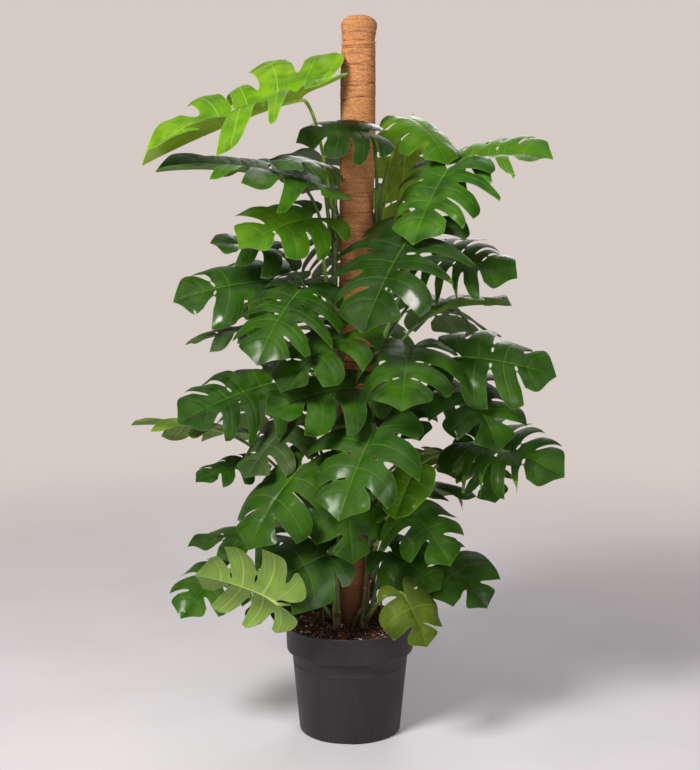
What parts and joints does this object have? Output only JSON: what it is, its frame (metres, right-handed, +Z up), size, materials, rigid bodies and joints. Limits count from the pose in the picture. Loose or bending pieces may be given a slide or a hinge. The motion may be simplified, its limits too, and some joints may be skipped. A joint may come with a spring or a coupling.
{
  "type": "potted swiss cheese plant",
  "caption": "Split-leaf climbing house plant on a coir pole in a round nursery pot: stalked, deeply cut glossy leaves round climbing stems.",
  "frame": {"origin": "centre of the pot's base, on the surface it stands on", "axes": "+Z up the pole, -Y to the front as pictured, +X to its right"},
  "size_m": [0.8886, 0.6677, 1.468],
  "materials": {
    "pot_plastic": "black moulded plastic, matt, faint vertical sheen, a little dust",
    "potting_soil": "dark brown moist potting soil with white perlite and bark crumbs",
    "coir_fibre": "orange-brown coconut fibre, wound, rough, darker low down",
    "pole_wood": "plain round softwood post",
    "tie_wire": "dark plastic-coated garden wire",
    "stem_green": "green-brown climbing stem with rings and root stubs",
    "leaf_young": "young bright green waxy leaf, pale veins",
    "leaf_mid": "mid green glossy leaf, pale veins",
    "leaf_dark": "dark green glossy leaf, pale veins",
    "leaf_light": "light green waxy leaf, pale veins",
    "leaf_olive": "olive green leaf, paler matt underside",
    "leaf_grey": "dark green leaf with a bluish waxy sheen",
    "leaf_pale": "light green leaf, pale matt underside"
  },
  "bodies": {
    "root": {"nursery_pot": "pot_plastic", "potting_soil": "potting_soil", "coir_sleeve": "coir_fibre", "pole_post": "pole_wood", "pole_tie": "tie_wire", "stem_left": "stem_green", "stem_right": "stem_green", "stem_back_left": "stem_green", "stem_back_right": "stem_green", "leaf_top_left_young": "leaf_young", "leaf_top_left_dark": "leaf_mid", "leaf_top_front": "leaf_dark", "leaf_top_front_low": "leaf_mid", "leaf_top_right_arched": "leaf_light", "leaf_top_right_hanging": "leaf_young", "leaf_top_right_long": "leaf_light", "leaf_top_right_low": "leaf_mid", "leaf_centre_high": "leaf_dark", "leaf_right_high": "leaf_mid", "leaf_right_edge_on": "leaf_mid", "leaf_right_round": "leaf_mid", "leaf_front_heart": "leaf_dark", "leaf_right_glossy": "leaf_dark", "leaf_right_far": "leaf_mid", "leaf_right_hanging": "leaf_mid", "leaf_right_behind": "leaf_olive", "leaf_right_inner": "leaf_dark", "leaf_centre_big": "leaf_mid", "leaf_centre_young": "leaf_young", "leaf_right_low_inner": "leaf_mid", "leaf_right_low_round": "leaf_dark", "leaf_front_low": "leaf_olive", "leaf_front_low_dark": "leaf_dark", "leaf_left_high": "leaf_light", "leaf_left_up": "leaf_dark", "leaf_left_far_high": "leaf_mid", "leaf_left_edge_on": "leaf_grey", "leaf_left_big": "leaf_dark", "leaf_left_inner": "leaf_dark", "leaf_left_mid": "leaf_dark", "leaf_left_wide": "leaf_dark", "leaf_left_pale_tip": "leaf_pale", "leaf_left_low_tip": "leaf_dark", "leaf_left_grey": "leaf_grey", "leaf_left_low_big": "leaf_mid", "leaf_left_low_far": "leaf_dark", "leaf_left_low_pale": "leaf_pale", "leaf_front_small": "leaf_dark", "leaf_left_low_front": "leaf_dark", "leaf_left_low_behind": "leaf_mid", "leaf_left_low_drop": "leaf_dark", "leaf_back_top": "leaf_dark", "leaf_back_high": "leaf_dark", "leaf_back_left_high": "leaf_dark", "leaf_back_right_high": "leaf_dark", "leaf_back_mid": "leaf_dark", "leaf_back_right_mid": "leaf_dark", "leaf_back_left_mid": "leaf_dark", "leaf_back_low_right": "leaf_dark", "leaf_back_low_left": "leaf_dark"}
  },
  "joints": []
}
